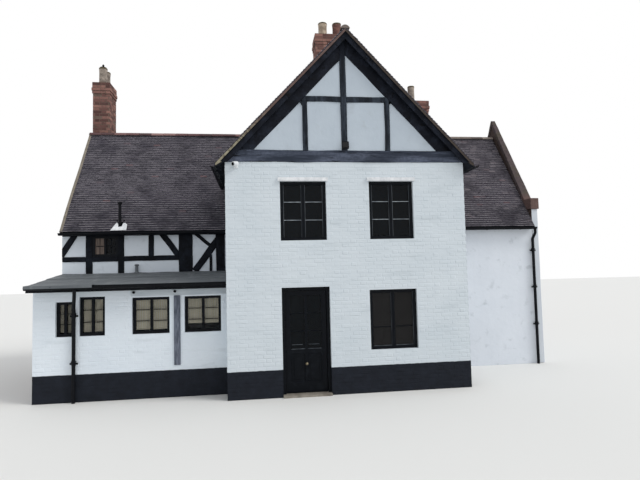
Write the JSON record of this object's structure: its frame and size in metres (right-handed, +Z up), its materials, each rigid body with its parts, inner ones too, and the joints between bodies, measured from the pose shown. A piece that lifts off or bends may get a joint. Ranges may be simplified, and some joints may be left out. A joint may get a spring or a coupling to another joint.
{
  "type": "half timbered house",
  "caption": "Half timbered house with a gabled brick cross-wing, tiled ranges to each side, a lean-to, a parapet gable and a hinged front door.",
  "frame": {"origin": "on the ground under the middle of the gabled wing's front wall, halfway through its thickness", "axes": "+X to the right along the front, +Y back into the house, +Z up"},
  "size_m": [11.235, 6.32, 9.4165],
  "materials": {
    "painted_brick": "white painted brickwork over a black painted foot",
    "render": "white painted render",
    "plaster": "white painted plaster panels",
    "black_timber": "blackened oak, weathered",
    "clay_tile": "dark weathered plain clay tiles",
    "ridge_clay": "red clay ridge tiles",
    "lead_roof": "dull grey sheet roof",
    "red_brick": "red brown brickwork",
    "pot_clay": "buff and red clay pots",
    "stone": "worn stone flags",
    "boards": "old floor boards",
    "black_frame": "black painted joinery",
    "pane": "old window glass",
    "black_iron": "black painted cast iron",
    "brass": "dull brass"
  },
  "bodies": {
    "house": {"bargeboards": "black_timber", "chimney_pots": "pot_clay", "chimney_stacks": "red_brick", "door_frame": "black_frame", "door_hinge_pins": "black_iron", "door_sill": "stone", "downpipes": "black_iron", "flue_pipe": "black_iron", "frame_braces": "black_timber", "frame_panels": "plaster", "frame_plates": "black_timber", "frame_posts": "black_timber", "frame_rails": "black_timber", "front_wall_left": "painted_brick", "front_wall_right": "painted_brick", "front_wall_upper": "painted_brick", "gable_collars": "black_timber", "gable_king_posts": "black_timber", "gable_panels": "plaster", "gable_rafters": "black_timber", "gable_studs": "black_timber", "gable_tie_beams": "black_timber", "ground_floors": "stone", "gutters": "black_iron", "lean_to_fascia": "black_frame", "lean_to_roof": "lead_roof", "lean_to_wall": "painted_brick", "left_low_wall": "render", "left_rear_wall": "render", "left_roof_front": "clay_tile", "left_roof_rear": "clay_tile", "parapet_coping": "red_brick", "parapet_gable": "render", "party_wall": "red_brick", "purlin_ends": "black_timber", "ridge_tiles": "ridge_clay", "right_front_wall": "render", "right_rear_wall": "render", "right_roof_front": "clay_tile", "right_roof_rear": "clay_tile", "side_window_frames": "black_frame", "upper_floors": "boards", "window_drips": "plaster", "window_glass": "pane", "wing_left_wall": "painted_brick", "wing_rear_wall": "painted_brick", "wing_right_wall": "painted_brick", "wing_roof_left": "clay_tile", "wing_roof_right": "clay_tile", "wing_window_frames": "black_frame"},
    "door": {"front_door": "black_frame", "door_glass": "pane", "door_knob": "brass", "door_hinge_knuckles": "black_iron"}
  },
  "joints": [
    {"name": "front_door_hinge", "type": "hinge", "parent": "house", "child": "door", "pos_m": [-1.292, 0.009, 0], "axis": [0, 0, 1], "range_deg": [0, 95]}
  ]
}
